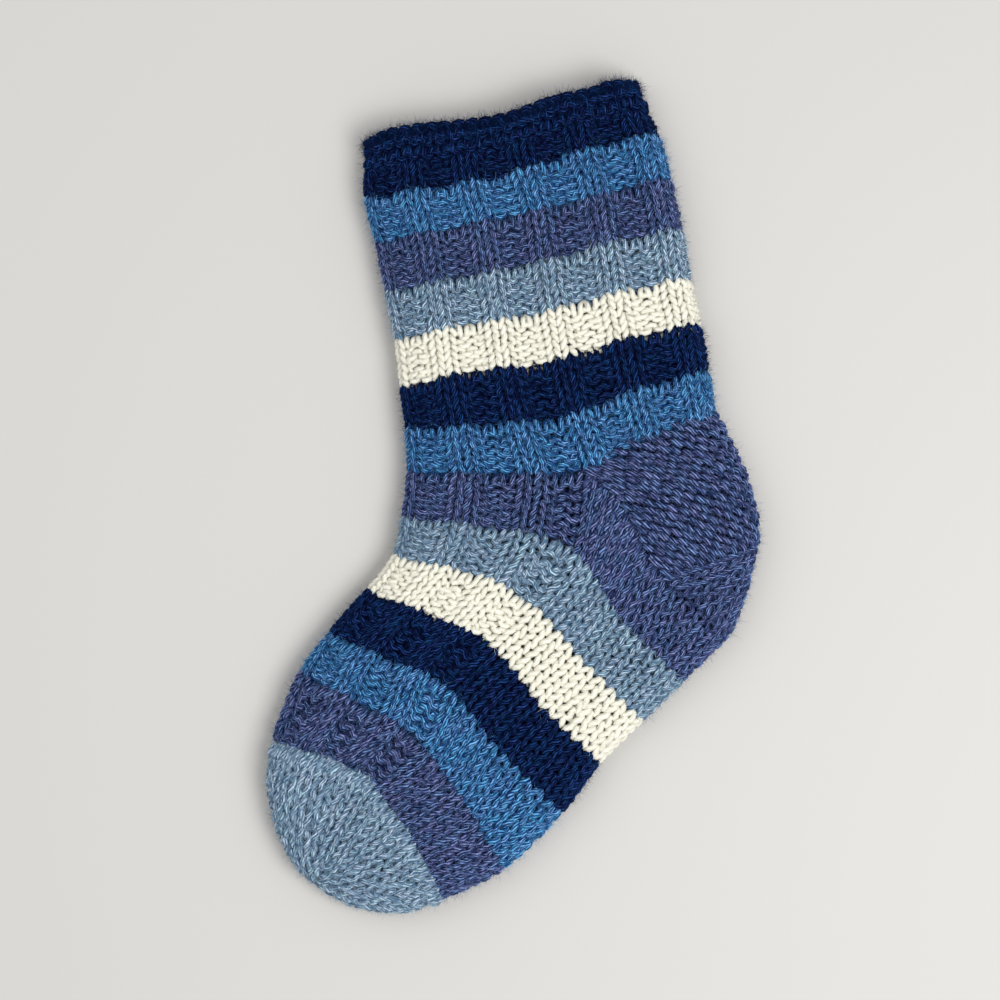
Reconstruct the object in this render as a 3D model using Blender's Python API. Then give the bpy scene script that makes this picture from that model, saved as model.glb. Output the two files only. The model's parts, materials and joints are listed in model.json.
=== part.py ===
"""A hand-knitted striped wool sock, lying flat on its side.

The sock is a hollow tube of knitted fabric, built from the bands of yarn it is knitted from:
a cast-on edge, a cuff, leg bands, an ankle band, a heel (flap, turn and gusset), foot bands and
a toe cap. +Z is up, +Y runs up the leg to the mouth, and +X points to the back of the heel.
Plan sizes below are millimetres. The origin is under the middle of the whole sock.
"""
import math

import bmesh
import bpy
from mathutils import Matrix, Vector

MM = 0.001
MIDDLE = (0.0, -1.3)    # where the middle of the whole sock lies among the plan sizes below

# The fabric.
WALL = 3.0              # thickness of one layer of knitted fabric
HALF_THICK = 7.0        # half of the flat sock's thickness, at the leg and the foot
HEEL_PUFF = 1.6         # how much more the rounded heel adds to that half thickness
HEEL_MIDDLE = (62.0, -25.0)
HEEL_SPREAD = 34.0      # distance over which the heel's puff fades
FOLD_WIDTH = 12.0       # plan width over which the fabric rounds over at a fold
CROWN = 1.6             # how much the upper layer rises towards the middle
CROWN_WIDTH = 42.0
JOIN_GAP = 0.34         # clearance between bands that are knitted to each other

# Each rim is where one band of yarn ends and the next begins, as the points of a smooth curve
# over the upper layer: front fold, instep, side line, back half, back fold.
RIMS = (
    ((-20.5, 124.0), (3.0, 127.6), (28.0, 127.0), (55.0, 130.6), (79.6, 127.0)),    # cuff top
    ((-22.5, 110.0), (2.0, 108.8), (28.0, 109.4), (55.0, 112.8), (83.0, 114.6)),    # cuff foot
    ((-21.5, 94.0), (3.0, 94.0), (30.0, 94.6), (58.0, 96.4), (84.6, 98.3)),
    ((-21.2, 76.2), (3.0, 76.6), (30.0, 77.0), (58.0, 79.2), (85.4, 80.2)),
    ((-21.0, 59.6), (3.0, 60.0), (30.0, 59.8), (58.0, 62.2), (85.2, 63.0)),
    ((-22.0, 43.0), (3.0, 43.8), (30.0, 42.4), (58.0, 45.8), (86.0, 46.4)),
    ((-22.5, 28.4), (2.0, 25.4), (32.0, 22.6), (58.0, 27.6), (85.9, 30.2)),         # ankle top
    ((-24.6, 13.4), (4.0, 7.6), (36.0, 3.0), (58.0, 9.8), (85.6, 14.2)),            # ankle foot
    ((-29.4, -1.6), (3.0, -11.4), (27.0, -23.0), (39.0, -49.0), (57.4, -75.0)),     # gusset foot
    ((-34.8, -14.2), (-9.0, -25.2), (10.0, -39.5), (24.0, -61.5), (41.2, -86.2)),
    ((-46.2, -24.4), (-24.0, -38.0), (-7.0, -50.0), (7.0, -74.0), (24.0, -98.0)),
    ((-61.8, -37.0), (-40.0, -51.0), (-24.0, -62.0), (-10.0, -87.0), (8.0, -112.6)),
    ((-74.0, -49.0), (-51.0, -66.0), (-36.0, -80.5), (-25.0, -103.0), (-15.5, -128.4)),
    ((-87.8, -70.8), (-66.0, -81.5), (-55.0, -91.5), (-45.0, -113.0), (-38.6, -135.4)),  # toe start
)
ANKLE_FOOT = 7
GUSSET_FOOT = 8

# Where the gusset was picked up: down the side of the heel flap, then across under the heel turn.
PICK_UP = (RIMS[ANKLE_FOOT][2], (46.5, -9.5), (51.0, -26.0), (58.0, -41.0), (66.5, -52.5), (76.5, -61.8))
FLAP_STEPS = 4          # steps down the pick-up line that belong to the flap
TURN_SIDE_STEPS = 1     # steps after those that are the heel turn's short side

# The folds round the heel and round the toe, and with the rims' ends the whole outline.
HEEL_POINT = (91.2, -32.0)
HEEL_ROUND = (PICK_UP[-1], (86.6, -44.0), HEEL_POINT, (92.3, -20.0), (91.2, -8.0), (88.4, 3.0))
TOE_TIP = (-82.0, -122.4)
TOE_ROUND = ((-92.2, -87.0), (-91.0, -104.0), (-87.2, -115.0), TOE_TIP,
             (-73.0, -130.0), (-63.0, -135.2), (-50.0, -137.6))
TOE_ROWS = (0.22, 0.44, 0.64, 0.82)     # how far along those folds the toe's rows lie
MOUTH_REACH = 60.0      # how far past the mouth the folds are drawn on, for the distance to them

HALF_STEPS = 10         # steps from a fold to the side line, along a rim
SPLINE_STEPS = 12       # steps between two given points of a curve

# The cast-on edge is a plump cord round the mouth.
EDGE_RADIUS = 2.1
EDGE_SIDES = 8

# Where the fabric flexes most: the ankle and the ball of the foot.
ANKLE_PIVOT = (32.0, 14.0)
TOE_PIVOT = (-45.0, -86.0)

YARNS = {
    "navy_wool": (0.006, 0.016, 0.075),
    "blue_wool": (0.045, 0.160, 0.380),
    "denim_wool": (0.070, 0.095, 0.215),
    "light_wool": (0.240, 0.340, 0.460),
    "cream_wool": (0.800, 0.770, 0.640),
}
YARN_ROUGHNESS = 0.9


# ---------------------------------------------------------------- curves in plan

def smooth(points):
    """A dense Catmull-Rom polyline through the given plan points."""
    knots = [Vector(p) for p in points]
    knots = [2 * knots[0] - knots[1]] + knots + [2 * knots[-1] - knots[-2]]
    line = [knots[1]]
    for a, b, c, d in zip(knots, knots[1:], knots[2:], knots[3:]):
        for step in range(1, SPLINE_STEPS + 1):
            t = step / SPLINE_STEPS
            line.append(0.5 * (2 * b + (c - a) * t + (2 * a - 5 * b + 4 * c - d) * t * t
                               + (3 * b - a - 3 * c + d) * t * t * t))
    return line


def at(line, share):
    """The point a share of the way along a polyline's length."""
    lengths = [(b - a).length for a, b in zip(line, line[1:])]
    left = max(0.0, min(1.0, share)) * sum(lengths)
    for start, end, length in zip(line, line[1:], lengths):
        if left <= length:
            return start.lerp(end, left / length)
        left -= length
    return line[-1].copy()


def from_fold(step):
    """Spacing from a fold to the side line, closer together where the fabric turns over."""
    return 1.0 - math.cos(0.5 * math.pi * step / HALF_STEPS)


def halves(points):
    """A rim's two halves as dense curves: front fold to side line, side line to back fold."""
    line = smooth(points)
    side = 2 * SPLINE_STEPS
    return line[:side + 1], line[side:]


def rim_row(front_half, back_half):
    front = [at(front_half, from_fold(step)) for step in range(HALF_STEPS + 1)]
    back = [at(back_half, 1.0 - from_fold(HALF_STEPS - step)) for step in range(1, HALF_STEPS + 1)]
    return front + back


def blend_rows(row_a, row_b, share):
    return [a.lerp(b, share) for a, b in zip(row_a, row_b)]


# ---------------------------------------------------------------- the flat sock's thickness

def outline_points():
    """The points that the fabric folds over at, from the mouth round the toe and back."""
    front = [rim[0] for rim in RIMS]
    sole = [rim[4] for rim in RIMS[:GUSSET_FOOT - 1:-1]]
    leg = [rim[4] for rim in RIMS[ANKLE_FOOT::-1]]
    past_front = (front[0][0], front[0][1] + MOUTH_REACH)
    past_back = (leg[-1][0], leg[-1][1] + MOUTH_REACH)
    return [past_front, *front, *TOE_ROUND, *sole, *HEEL_ROUND, *leg, past_back]


OUTLINE = outline_points()
FOLDS = smooth(OUTLINE)


def fold_between(start, end):
    """The stretch of the folds from one outline point to another, whichever way they lie."""
    first, last = OUTLINE.index(start) * SPLINE_STEPS, OUTLINE.index(end) * SPLINE_STEPS
    if first <= last:
        return FOLDS[first:last + 1]
    return FOLDS[last:first + 1][::-1]


def to_fold(point):
    """Distance from a plan point to the nearest fold, and the direction out to it."""
    best, out = 1e9, Vector((1.0, 0.0))
    for start, end in zip(FOLDS, FOLDS[1:]):
        along = end - start
        share = max(0.0, min(1.0, (point - start).dot(along) / max(along.length_squared, 1e-9)))
        gap = start + along * share - point
        if gap.length < best - 1e-9:
            best = gap.length
            # The outline is walked with the sock on its left, so outward is to the right.
            out = Vector((along.y, -along.x)).normalized()
            out = gap.normalized() if gap.length > 0.5 else out
    return best, out


def half_thickness(point):
    reach = (point - Vector(HEEL_MIDDLE)).length / HEEL_SPREAD
    return HALF_THICK + HEEL_PUFF * math.exp(-reach * reach)


def surface_point(plan, upper, depth):
    """A point of one layer: on its outer face (depth 0) or that far in towards the inside."""
    distance, out = to_fold(plan)
    half = half_thickness(plan)
    over = 1.0 - min(distance / FOLD_WIDTH, 1.0)
    rise = math.sqrt(1.0 - over * over)
    crown_over = 1.0 - min(distance / CROWN_WIDTH, 1.0)
    normal = Vector((over / FOLD_WIDTH, rise / half)).normalized()
    z = half + half * rise if upper else half - half * rise
    z += CROWN * (1.0 - crown_over * crown_over) if upper else 0.0
    side = 1.0 if upper else -1.0
    inside = plan - out * (normal.x * depth) - Vector(MIDDLE)
    return Vector((inside.x, inside.y, z - side * normal.y * depth))


# ---------------------------------------------------------------- solids

def closed_section(row, depth):
    """A row's points all round the tube: over the upper layer, then back under."""
    upper = [surface_point(point, True, depth) for point in row]
    lower = [surface_point(point, False, depth) for point in row[-2:0:-1]]
    return upper + lower


def open_section(row, depth):
    """The same for a row of the heel, which starts at its side and wraps the back fold only."""
    upper = [surface_point(point, True, depth) for point in row]
    lower = [surface_point(point, False, depth) for point in row[-2::-1]]
    return upper + lower


def add_strip(bm, row_a, row_b, closed):
    count = len(row_a)
    for step in range(count if closed else count - 1):
        after = (step + 1) % count
        bm.faces.new((row_a[step], row_a[after], row_b[after], row_b[step]))


def add_vertices(bm, sections):
    return [[bm.verts.new(point * MM) for point in section] for section in sections]


def yarn_material(yarn):
    material = bpy.data.materials.get(yarn)
    if material is None:
        material = bpy.data.materials.new(yarn)
        material.use_nodes = True
        shader = material.node_tree.nodes["Principled BSDF"]
        shader.inputs["Base Color"].default_value = (*YARNS[yarn], 1.0)
        shader.inputs["Roughness"].default_value = YARN_ROUGHNESS
        shader.inputs["Metallic"].default_value = 0.0
    return material


def finish_object(name, bm, yarn, pivot):
    bmesh.ops.recalc_face_normals(bm, faces=bm.faces)
    bmesh.ops.triangulate(bm, faces=bm.faces)
    mesh = bpy.data.meshes.new(name)
    bm.to_mesh(mesh)
    bm.free()
    mesh.materials.append(yarn_material(yarn))
    mesh.shade_smooth()
    mesh.set_sharp_from_angle(angle=math.radians(60))
    piece = bpy.data.objects.new(name, mesh)
    bpy.context.collection.objects.link(piece)
    piece.parent = pivot
    piece.matrix_parent_inverse = Matrix.Translation(-pivot.location)
    return piece


def band(name, yarn, pivot, row_a, row_b):
    """One band of the tube between two rims."""
    shortest = min((a - b).length for a, b in zip(row_a, row_b))
    trim = 0.5 * JOIN_GAP / shortest
    rows = [blend_rows(row_a, row_b, trim), blend_rows(row_a, row_b, 1.0 - trim)]
    bm = bmesh.new()
    outer = add_vertices(bm, [closed_section(row, 0.0) for row in rows])
    inner = add_vertices(bm, [closed_section(row, WALL) for row in rows])
    add_strip(bm, outer[0], outer[1], True)
    add_strip(bm, inner[0], inner[1], True)
    add_strip(bm, outer[0], inner[0], True)
    add_strip(bm, outer[1], inner[1], True)
    return finish_object(name, bm, yarn, pivot)


def heel_panel(name, yarn, pivot, rows):
    """A panel of the heel, open at the sides and folded over the back fold."""
    bm = bmesh.new()
    outer = add_vertices(bm, [open_section(row, 0.0) for row in rows])
    inner = add_vertices(bm, [open_section(row, WALL) for row in rows])
    for above, below in zip(outer, outer[1:]):
        add_strip(bm, above, below, False)
    for above, below in zip(inner, inner[1:]):
        add_strip(bm, above, below, False)
    add_strip(bm, outer[0], inner[0], False)
    add_strip(bm, outer[-1], inner[-1], False)
    for end in (0, -1):
        add_strip(bm, [row[end] for row in outer], [row[end] for row in inner], False)
    return finish_object(name, bm, yarn, pivot)


def toe_cap(name, yarn, pivot, first_row):
    """The closed end of the tube: rows that shrink round the rounded toe to its tip."""
    front, back = fold_between(RIMS[-1][0], TOE_TIP), fold_between(RIMS[-1][4], TOE_TIP)
    tip = Vector(TOE_TIP)
    side = first_row[HALF_STEPS]
    rows = []
    for share in TOE_ROWS:
        middle = side.lerp(tip, share)
        ends = at(front, share), at(back, share)
        shape = [ends[0], ends[0].lerp(middle, 0.5), middle, middle.lerp(ends[1], 0.5), ends[1]]
        for place, knot in ((1, 1), (3, 3)):
            # Each row keeps a little of the first row's bow, less and less towards the tip.
            straight = first_row[0].lerp(side, 0.5) if place == 1 else side.lerp(first_row[-1], 0.5)
            bow = Vector(RIMS[-1][knot]) - straight
            shape[place] += bow * (1.0 - share)
        rows.append(rim_row(*halves(shape)))
    trim = 0.5 * JOIN_GAP / min((a - b).length for a, b in zip(first_row, rows[0]))
    rows.insert(0, blend_rows(first_row, rows[0], trim))
    bm = bmesh.new()
    outer = add_vertices(bm, [closed_section(row, 0.0) for row in rows])
    inner = add_vertices(bm, [closed_section(row, WALL) for row in rows[:-1]])
    for above, below in zip(outer, outer[1:]):
        add_strip(bm, above, below, True)
    for above, below in zip(inner, inner[1:]):
        add_strip(bm, above, below, True)
    add_strip(bm, outer[0], inner[0], True)
    outer_tip = bm.verts.new(surface_point(tip, True, 0.0) * MM)
    inner_end = sum((vertex.co for vertex in inner[-1]), Vector()) / len(inner[-1])
    inner_tip = bm.verts.new(inner_end)
    for ring, pole in ((outer[-1], outer_tip), (inner[-1], inner_tip)):
        for a, b in zip(ring, ring[1:] + ring[:1]):
            bm.faces.new((a, b, pole))
    return finish_object(name, bm, yarn, pivot)


def cast_on_edge(name, yarn, pivot, top_row, next_row):
    """The cord of the cast-on edge, resting on the cuff's top rim and running all round it."""
    path = closed_section(top_row, EDGE_RADIUS)
    below = closed_section(next_row, EDGE_RADIUS)
    lift = EDGE_RADIUS + JOIN_GAP
    bm = bmesh.new()
    rings = []
    count = len(path)
    for step, point in enumerate(path):
        along = (path[(step + 1) % count] - path[step - 1]).normalized()
        up = (point - below[step])
        up = (up - along * up.dot(along)).normalized()
        across = along.cross(up)
        centre = point + up * lift
        ring = []
        for side in range(EDGE_SIDES):
            angle = 2 * math.pi * side / EDGE_SIDES
            offset = up * (EDGE_RADIUS * math.cos(angle)) + across * (EDGE_RADIUS * math.sin(angle))
            ring.append(bm.verts.new((centre + offset) * MM))
        rings.append(ring)
    for ring_a, ring_b in zip(rings, rings[1:] + rings[:1]):
        add_strip(bm, ring_a, ring_b, True)
    return finish_object(name, bm, yarn, pivot)


# ---------------------------------------------------------------- the sock

def pivot_empty(name, plan):
    empty = bpy.data.objects.new(name, None)
    centre = Vector(plan) - Vector(MIDDLE)
    empty.location = Vector((*centre, HALF_THICK)) * MM
    bpy.context.collection.objects.link(empty)
    return empty


def row_shares(side):
    """How far down a heel panel its rows lie: at each point of its side, and halfway between."""
    lengths = [(b - a).length for a, b in zip(side, side[1:])]
    shares, reached = [0.0], 0.0
    for length in lengths:
        shares += [(reached + 0.5 * length) / sum(lengths), (reached + length) / sum(lengths)]
        reached += length
    shares[0] = 0.5 * JOIN_GAP / reached
    shares[-1] = 1.0 - 0.5 * JOIN_GAP / reached
    return shares


def fill_panel(top, bottom, side, fold):
    """Rows of plan points that fill the space between four curves (a Coons patch)."""
    rows = []
    for down in row_shares(side):
        start, end = at(side, down), at(fold, down)
        row = []
        for step in range(HALF_STEPS + 1):
            across = 1.0 - from_fold(HALF_STEPS - step)
            across = max(across, 0.5 * JOIN_GAP / (end - start).length)
            ruled = at(top, across).lerp(at(bottom, across), down)
            corners = top[0].lerp(top[-1], across).lerp(bottom[0].lerp(bottom[-1], across), down)
            row.append(ruled + start.lerp(end, across) - corners)
        rows.append(row)
    return rows


def heel_rows(ankle_back, pick_up):
    """Rows of the flap and of the turn, from the ankle band's rim down to the pick-up line."""
    flap_foot = pick_up[FLAP_STEPS]
    turn_start = pick_up[FLAP_STEPS + TURN_SIDE_STEPS]
    back_fold = fold_between(RIMS[ANKLE_FOOT][4], HEEL_POINT)
    under_fold = fold_between(HEEL_POINT, PICK_UP[-1])
    seam = [flap_foot, Vector(HEEL_POINT)]
    flap = fill_panel(ankle_back, seam, pick_up[:FLAP_STEPS + 1], back_fold)
    turn = fill_panel(seam, pick_up[FLAP_STEPS + TURN_SIDE_STEPS:], [flap_foot, turn_start], under_fold)
    return flap, turn


def build_sock():
    leg = pivot_empty("leg_bend", ANKLE_PIVOT)
    foot = pivot_empty("foot_frame", MIDDLE)
    toe = pivot_empty("toe_bend", TOE_PIVOT)

    rows = [rim_row(*halves(rim)) for rim in RIMS]
    cast_on_edge("cast_on_edge", "navy_wool", leg, rows[0], rows[1])
    leg_bands = (("cuff_band", "navy_wool"), ("leg_band_blue", "blue_wool"),
                 ("leg_band_denim", "denim_wool"), ("leg_band_light", "light_wool"),
                 ("leg_band_cream", "cream_wool"), ("leg_band_navy", "navy_wool"),
                 ("ankle_band_blue", "blue_wool"))
    for place, (name, yarn) in enumerate(leg_bands):
        band(name, yarn, leg, rows[place], rows[place + 1])

    instep_half, ankle_back = halves(RIMS[ANKLE_FOOT])
    pick_up_line = smooth(PICK_UP)
    pick_up = [at(pick_up_line, 1.0 - from_fold(HALF_STEPS - step)) for step in range(HALF_STEPS + 1)]
    flap_rows, turn_rows = heel_rows(ankle_back, pick_up)
    heel_panel("heel_flap", "denim_wool", foot, flap_rows)
    heel_panel("heel_turn", "denim_wool", foot, turn_rows)
    band("gusset_band", "denim_wool", foot, rim_row(instep_half, pick_up_line), rows[GUSSET_FOOT])

    foot_bands = (("foot_band_light", "light_wool"), ("foot_band_cream", "cream_wool"),
                  ("foot_band_navy", "navy_wool"), ("foot_band_blue", "blue_wool"))
    for place, (name, yarn) in enumerate(foot_bands, start=GUSSET_FOOT):
        band(name, yarn, foot, rows[place], rows[place + 1])
    band("foot_band_denim", "denim_wool", toe, rows[-2], rows[-1])
    toe_cap("toe_cap", "light_wool", toe, rows[-1])


for old in list(bpy.data.objects):
    bpy.data.objects.remove(old, do_unlink=True)
build_sock()
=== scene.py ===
"""The looks of a hand-knitted striped wool sock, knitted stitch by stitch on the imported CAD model.

Each round of the sock is one twisted yarn that loops through the rounds above and below it.
Sizes are metres unless a name says otherwise. A place on the fabric is (turn, row): turn runs
from 0 to 4 round the tube, a whole number at each fold and each side line, starting at the front
fold and going over the upper layer first. Rows are counted away from the mouth.
"""
import json
import math

import bmesh
import bpy
import numpy as np
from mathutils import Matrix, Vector
from mathutils.bvhtree import BVHTree


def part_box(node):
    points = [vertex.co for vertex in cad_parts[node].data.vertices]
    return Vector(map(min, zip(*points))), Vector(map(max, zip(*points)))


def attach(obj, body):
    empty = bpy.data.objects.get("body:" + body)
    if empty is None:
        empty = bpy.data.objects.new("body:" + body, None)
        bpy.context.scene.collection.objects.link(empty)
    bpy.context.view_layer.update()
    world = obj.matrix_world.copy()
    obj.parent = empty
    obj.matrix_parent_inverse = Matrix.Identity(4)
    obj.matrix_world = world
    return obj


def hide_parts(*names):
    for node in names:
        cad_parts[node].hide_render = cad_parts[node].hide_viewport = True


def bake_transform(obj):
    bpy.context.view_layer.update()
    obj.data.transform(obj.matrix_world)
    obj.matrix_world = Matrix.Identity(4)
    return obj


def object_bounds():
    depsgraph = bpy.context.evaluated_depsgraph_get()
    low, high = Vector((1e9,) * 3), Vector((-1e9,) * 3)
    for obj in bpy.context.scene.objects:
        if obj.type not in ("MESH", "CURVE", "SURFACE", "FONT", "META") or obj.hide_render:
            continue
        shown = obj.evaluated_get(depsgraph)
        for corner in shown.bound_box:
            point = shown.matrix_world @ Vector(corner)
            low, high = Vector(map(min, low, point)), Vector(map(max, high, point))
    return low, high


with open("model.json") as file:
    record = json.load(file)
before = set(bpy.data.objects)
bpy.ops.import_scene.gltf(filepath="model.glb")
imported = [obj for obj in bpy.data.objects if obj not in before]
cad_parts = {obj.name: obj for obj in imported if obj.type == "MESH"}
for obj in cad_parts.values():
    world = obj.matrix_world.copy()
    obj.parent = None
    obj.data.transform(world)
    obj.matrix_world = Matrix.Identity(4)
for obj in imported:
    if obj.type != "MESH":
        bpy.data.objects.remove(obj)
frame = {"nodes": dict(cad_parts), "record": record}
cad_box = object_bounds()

MM = 0.001
TAU = 2.0 * math.pi

# The yarn.
YARN_RADIUS = 1.04 * MM
PLIES = 7
PLY_PROFILE = (0.80, 1.07)          # share of the radius in the groove beside a ply and on its crest
UNEVEN = 0.045                      # how rough the spun yarn's surface is, as a share of its radius
TWIST_PITCH = 15.0 * MM             # length of yarn for one full turn of its plies
THICK_AND_THIN = 0.06
THICK_PITCH = 23.0 * MM             # length of yarn from one thick stretch to the next
STRAND_STARTS = 1000.0              # each yarn's texture starts anywhere along this many millimetres
FACING_PAINTED_SHADE = (0.05, 1.0)          # painted shade: plies are painted lightest on top of the yarn and darker at its sides
DEPTH_PAINTED_SHADE = (-0.7 * MM, 1.5 * MM) # and painted lighter from this deep in the fabric up to this far out

# The stitches.
SEGMENTS = 14                       # steps along the yarn for one stitch
LOOP_DEPTH = 0.82 * MM              # how far a loop's legs stand in front of its head
HOOK = 1.75 * MM                    # how much taller a loop is than one row
SWAY_ROOM = 0.43                    # loops' legs lean this many stitches less the yarn's radius,
SWAY = (0.13, 0.22)                 # and at least and at most this many
NARROWED = 0.7                      # how much less they do where the loop's head stands in front
HEAD_SPAN = 0.125                   # a loop's head reaches this far to each side of its middle
SIGN_REACH = 0.22                   # share of a stitch in which knit turns into purl
RIB_REACH = 0.45                    # and in which a rib's relief turns into its neighbour's
PLUMP_PITCH = 3.1 * MM              # where rows lie wider apart than this, the yarn is plumper
MOST_PLUMP = 1.28
FABRIC_SINK = 1.45 * MM             # the fabric's middle lies this far inside the CAD surface
RIB_RELIEF = 0.55 * MM              # how far knit ribs stand out and purl ribs lie back
RIB_SHIFT = 0.26                    # rows by which knit ribs ride up and purl ribs down
STITCH_STEPS = 4                    # grid samples per stitch and per row
RIB = 4                             # knit two, purl two
LEG_QUARTER = 11                    # stitches from a fold to a side line
WHOLE_ROUND = (LEG_QUARTER,) * 4
TUCK_SHORT = 0.22                   # how much shorter a stripe's last loops are, under the next yarn
TUCK_DEPTH = 0.55 * MM              # and how much deeper their heads lie
SOLE_STITCH = 5.3 * MM
TOE_STITCH = 5.2 * MM

# How unevenly the stitches are worked: in the loops' height, to the side, down and out.
UNEVEN_HOOK = 0.05
UNEVEN_ACROSS = 0.045               # stitches
UNEVEN_DOWN = 0.08                  # rows
UNEVEN_LIFT = 0.14 * MM

# Fuzz.
HAIR_LENGTH = (1.2 * MM, 3.6 * MM)
HAIR_RADIUS = 0.040 * MM            # at its middle, where it is thickest
HAIR_SIDES = 3
HAIR_FACES = 2 * HAIR_SIDES         # triangles in one hair
HAIR_FACING = 0.0                   # hairs grow where the yarn faces out of the fabric this much
HAIR_ROOT = 0.25 * MM               # they start this deep in the yarn
HAIR_BEND = 0.45                    # and their tips are bent aside by this share of their length
HAIR_LEAN = (0.3, 2.0)              # how far hairs lean away from straight out
HAIR_PAINTED_LIGHT = 0.5                    # their painted light, as a share of a ply's crest
HAIRS_PER_STITCH = 60
MOST_FACES = 197000                 # triangles that one piece may have in all

FLOOR_GAP = 0.45 * MM               # stitches pressed on the floor are flattened below this height


def added(name, data):
    """A new object in the scene."""
    thing = bpy.data.objects.new(name, data)
    bpy.context.scene.collection.objects.link(thing)
    return thing


def node_points(node):
    return np.array([vertex.co[:] for vertex in frame["nodes"][node].data.vertices])


# ---------------------------------------- the CAD bands' rims

WELD = 1e-6             # vertices closer than this are one
SHARP_ANGLE = math.radians(65)


def sharp_graph(node):
    """A CAD node's vertices, and which of them its sharp edges join."""
    bm = bmesh.new()
    bm.from_mesh(frame["nodes"][node].data)
    bmesh.ops.remove_doubles(bm, verts=bm.verts, dist=WELD)
    bm.verts.ensure_lookup_table()
    beside = {}
    for edge in bm.edges:
        if len(edge.link_faces) == 2 and edge.calc_face_angle() > SHARP_ANGLE:
            one, other = (vertex.index for vertex in edge.verts)
            beside.setdefault(one, []).append(other)
            beside.setdefault(other, []).append(one)
    points = np.array([vertex.co[:] for vertex in bm.verts])
    bm.free()
    return points, beside


def closed_loops(node):
    """A CAD node's sharp edges, followed round into closed rims."""
    points, beside = sharp_graph(node)
    loops, left = [], set(beside)
    while left:
        loop = [min(left)]
        before, here = None, loop[0]
        while True:
            after = next(v for v in beside[here] if v != before)
            if after == loop[0]:
                break
            loop.append(after)
            before, here = here, after
        left -= set(loop)
        loops.append(points[loop])
    return loops


def girth(loop):
    return np.linalg.norm(np.roll(loop, -1, axis=0) - loop, axis=1).sum()


def from_front_fold(loop):
    """The same rim, starting at its front fold and going over the upper layer first."""
    apart = np.linalg.norm(loop[:, None, :2] - loop[None, :, :2], axis=2)
    one, other = divmod(int(apart.argmax()), len(loop))
    front = one if loop[one, 0] < loop[other, 0] else other
    loop = np.roll(loop, -front, axis=0)
    quarter = len(loop) // 4
    if loop[quarter, 2] < loop[-quarter, 2]:
        loop = np.roll(loop[::-1], 1, axis=0)
    return loop


def end_rims(node, near):
    """The outer rims at a band's ends, the end nearer to a point first."""
    loops = sorted(closed_loops(node), key=lambda loop: np.linalg.norm(loop.mean(0) - near))
    pairs = [loops[place:place + 2] for place in range(0, len(loops), 2)]
    return [from_front_fold(max(pair, key=girth)) for pair in pairs]


def rims_along(nodes, near):
    """The rims of a run of bands that are knitted to each other, in knitting order."""
    tops, feet = [], []
    for node in nodes:
        top, foot = end_rims(node, near)
        tops.append(top)
        feet.append(foot)
        near = foot.mean(0)
    shared = [0.5 * (foot + top) for foot, top in zip(feet, tops[1:])]
    return [tops[0], *shared, feet[-1]]


def cad_surface(*nodes):
    """One search tree over the faces of several CAD nodes."""
    points, faces = [], []
    for node in nodes:
        mesh = frame["nodes"][node].data
        start = len(points)
        points += [vertex.co.copy() for vertex in mesh.vertices]
        faces += [[start + v for v in face.vertices] for face in mesh.polygons]
    return BVHTree.FromPolygons(points, faces)


# ---------------------------------------- curves

def curve_through(knots, steps, closed):
    """A Catmull-Rom curve through an array of knots, each of any shape, with steps between knots."""
    knots = np.asarray(knots)
    if closed:
        padded = np.concatenate([knots[-1:], knots, knots[:2]])
    else:
        padded = np.concatenate([2 * knots[:1] - knots[1:2], knots, 2 * knots[-1:] - knots[-2:-1]])
    a, b, c, d = (padded[place:len(padded) - 3 + place] for place in range(4))
    parts = []
    for step in range(steps):
        t = step / steps
        parts.append(0.5 * (2 * b + (c - a) * t + (2 * a - 5 * b + 4 * c - d) * t * t
                            + (3 * b - a - 3 * c + d) * t ** 3))
    curve = np.stack(parts, axis=1).reshape(-1, *knots.shape[1:])
    return curve if closed else np.concatenate([curve, knots[-1:]])


def step_lengths(line):
    return np.linalg.norm(np.diff(line, axis=0), axis=1)


def evenly(line, count):
    """Count points evenly spaced along a polyline, without its last point."""
    reached = np.concatenate([[0.0], step_lengths(line).cumsum()])
    places = np.arange(count) / count * reached[-1]
    return np.stack([np.interp(places, reached, line[:, axis]) for axis in range(3)], axis=1)


QUARTER_STEPS = LEG_QUARTER * STITCH_STEPS
DENSE = 6


def even_ring(loop):
    """A closed rim with the same number of even steps in each of its four quarters."""
    dense = curve_through(loop, DENSE, closed=True)
    quarter = len(dense) // 4
    dense = np.concatenate([dense, dense[:1]])
    return np.concatenate([evenly(dense[part * quarter:(part + 1) * quarter + 1], QUARTER_STEPS)
                           for part in range(4)])


def unit(vectors):
    return vectors / np.maximum(np.linalg.norm(vectors, axis=-1, keepdims=True), 1e-12)


def ease(share):
    share = np.clip(share, 0.0, 1.0)
    return share * share * (3.0 - 2.0 * share)


# ---------------------------------------- lines over the CAD surface

PROBE = 0.4 * MM        # wider than the gaps between the CAD bands
FAR = 0.1               # rays start this far outside the sock
FOLD_RAYS = 41          # an outline's points, each found by a ray from outside
FOLD_TURN = 0.008       # each is tried this many radians to either side
FACE_STEPS = 24


def face_height(surface, x, y, upper):
    """The height of the sock's upper or under face at a plan point, bridging the CAD bands' gaps."""
    heights = []
    for aside, ahead in ((0, 0), (PROBE, 0), (-PROBE, 0), (0, PROBE), (0, -PROBE)):
        start = Vector((x + aside, y + ahead, FAR if upper else -FAR))
        hit = surface.ray_cast(start, Vector((0, 0, -1 if upper else 1)))[0]
        if hit is not None:
            heights.append(hit.z)
    if not heights:
        return None
    return max(heights) if upper else min(heights)


FOLD_SHARES = np.sin(0.5 * math.pi * np.arange(FACE_STEPS + 1) / FACE_STEPS)


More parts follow.
